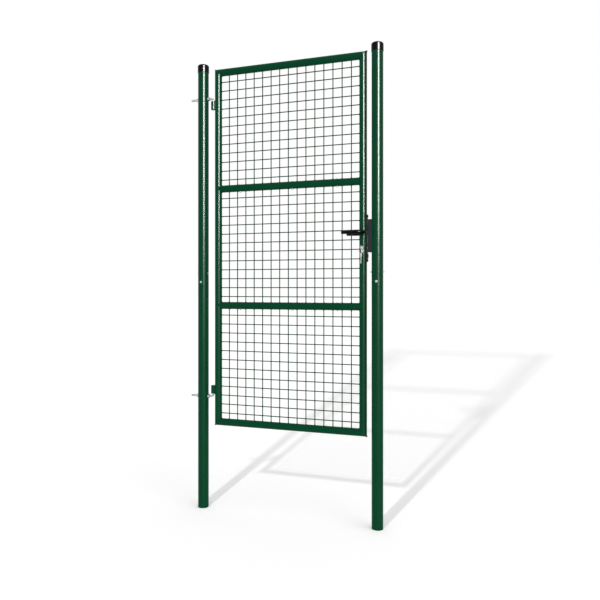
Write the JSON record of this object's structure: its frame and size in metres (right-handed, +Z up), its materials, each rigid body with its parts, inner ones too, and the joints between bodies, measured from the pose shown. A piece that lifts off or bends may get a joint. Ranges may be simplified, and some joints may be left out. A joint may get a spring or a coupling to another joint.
{
  "type": "mesh garden gate",
  "caption": "Tall single garden gate: a round-tube leaf filled with welded wire mesh swings on bent pintles between two round capped posts and closes with a lever lock.",
  "frame": {"origin": "middle of the hinge post's foot, on the flat end of the tube", "axes": "+Z up along the posts, +X from the hinge post to the latch post, -Y towards the front"},
  "size_m": [1.1049, 0.138, 2.507],
  "materials": {
    "green_coat": "satin green powder coat over galvanised steel",
    "cap_plastic": "glossy black moulded plastic",
    "zinc_steel": "clear passivated zinc plated steel",
    "slate_coat": "dark grey coated steel",
    "nickel": "satin nickel plate",
    "bolt_steel": "ground dark steel",
    "handle_black": "black coated aluminium"
  },
  "bodies": {
    "posts": {"hinge_post_lower": "green_coat", "hinge_post_upper": "green_coat", "hinge_post_cap": "cap_plastic", "latch_post_lower": "green_coat", "latch_post_upper": "green_coat", "latch_post_cap": "cap_plastic", "top_pintle": "zinc_steel", "bottom_pintle": "zinc_steel", "top_pintle_nuts": "zinc_steel", "bottom_pintle_nuts": "zinc_steel", "latch_keep": "slate_coat"},
    "leaf": {"hinge_stile": "green_coat", "latch_stile": "green_coat", "top_rail": "green_coat", "upper_middle_rail": "green_coat", "lower_middle_rail": "green_coat", "bottom_rail": "green_coat", "top_mesh": "green_coat", "middle_mesh": "green_coat", "bottom_mesh": "green_coat", "top_hinge_barrel": "green_coat", "bottom_hinge_barrel": "green_coat", "lock_case": "slate_coat", "lock_forend": "slate_coat", "latch_bolt": "bolt_steel", "dead_bolt": "bolt_steel", "front_handle_rose": "handle_black", "back_handle_rose": "handle_black", "lock_cylinder": "nickel", "key": "nickel", "key_ring": "nickel", "spare_key": "nickel"},
    "handle": {"front_lever": "handle_black", "back_lever": "handle_black", "handle_spindle": "zinc_steel"}
  },
  "joints": [
    {"name": "leaf_swing", "type": "hinge", "parent": "posts", "child": "leaf", "pos_m": [0.0624, 0, 0], "axis": [0, 0, 1], "range_deg": [-90, 90]},
    {"name": "lever_turn", "type": "hinge", "parent": "leaf", "child": "handle", "pos_m": [0.925, 0, 1.53], "axis": [0, -1, 0], "range_deg": [0, 40], "stiffness_Nm_per_rad": 1.5, "springref_deg": -28.65}
  ]
}
